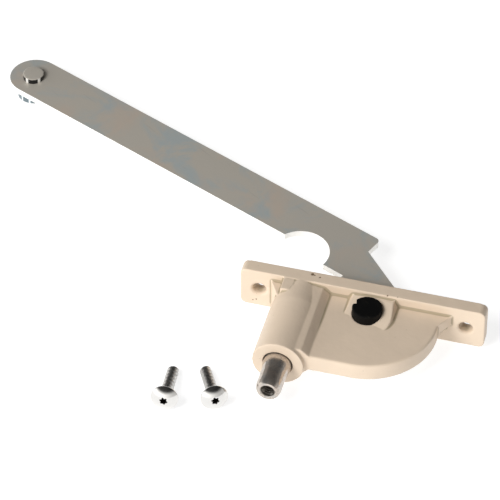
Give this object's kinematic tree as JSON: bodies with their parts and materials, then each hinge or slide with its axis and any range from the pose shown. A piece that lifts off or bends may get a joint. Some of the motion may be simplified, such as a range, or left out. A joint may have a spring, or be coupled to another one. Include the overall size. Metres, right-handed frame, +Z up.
{
  "type": "casement window operator",
  "caption": "Surface-mounted casement window operator: worm drive in a cast gear case swings a flat steel arm with a roller tip; shown part open.",
  "frame": {"origin": "midway between the two mounting holes on the flange's back face", "axes": "+X along the flange to the right seen from the room, +Y away from the room through the mounting face, +Z up along the arm's pivot"},
  "size_m": [0.2579, 0.1969, 0.0234],
  "materials": {
    "painted_casting": "satin baked enamel on a zinc die casting",
    "zinc_plate": "bright zinc plating on stamped steel",
    "plated_shaft": "turned and zinc plated",
    "black_steel": "black oxide",
    "bearing_bronze": "sintered bronze",
    "worm_steel": "hardened steel, greased",
    "seal_rubber": "moulded O-ring",
    "roller_finish": "bright zinc with a blue tint",
    "screw_finish": "bright zinc plated"
  },
  "bodies": {
    "housing": {"housing": "painted_casting", "gear_cover": "zinc_plate", "cover_rivets": "zinc_plate", "pivot_pin": "black_steel", "pivot_clip": "zinc_plate", "upper_washer": "bearing_bronze", "lower_washer": "bearing_bronze", "front_washer": "bearing_bronze", "front_bush": "bearing_bronze", "rear_washer": "bearing_bronze", "rear_bush": "bearing_bronze", "mounting_screw_left": "screw_finish", "mounting_screw_right": "screw_finish"},
    "arm": {"arm": "zinc_plate", "gear_plate": "zinc_plate", "gear_rivets": "zinc_plate", "pivot_bush": "bearing_bronze", "tip_stud": "zinc_plate", "tip_washer": "zinc_plate"},
    "shaft": {"drive_shaft": "plated_shaft", "worm": "worm_steel", "worm_pin": "worm_steel", "shaft_clip": "zinc_plate", "shaft_seal": "seal_rubber"},
    "roller": {"tip_roller": "roller_finish"}
  },
  "joints": [
    {"name": "arm_swing", "type": "hinge", "parent": "housing", "child": "arm", "pos_m": [0.00435, -0.0146, 0], "axis": [0, 0, 1], "range_deg": [-70, 23]},
    {"name": "shaft_spin", "type": "hinge", "parent": "housing", "child": "shaft", "pos_m": [-0.0277, -0.03, 0.0004], "axis": [0, 1, 0], "continuous": true},
    {"name": "roller_spin", "type": "hinge", "parent": "arm", "child": "roller", "pos_m": [-0.18988, 0.10363, 0], "axis": [0, 0, 1], "continuous": true}
  ],
  "couplings": [
    {"joint": "shaft_spin", "follows": "arm_swing", "ratio": 43}
  ]
}
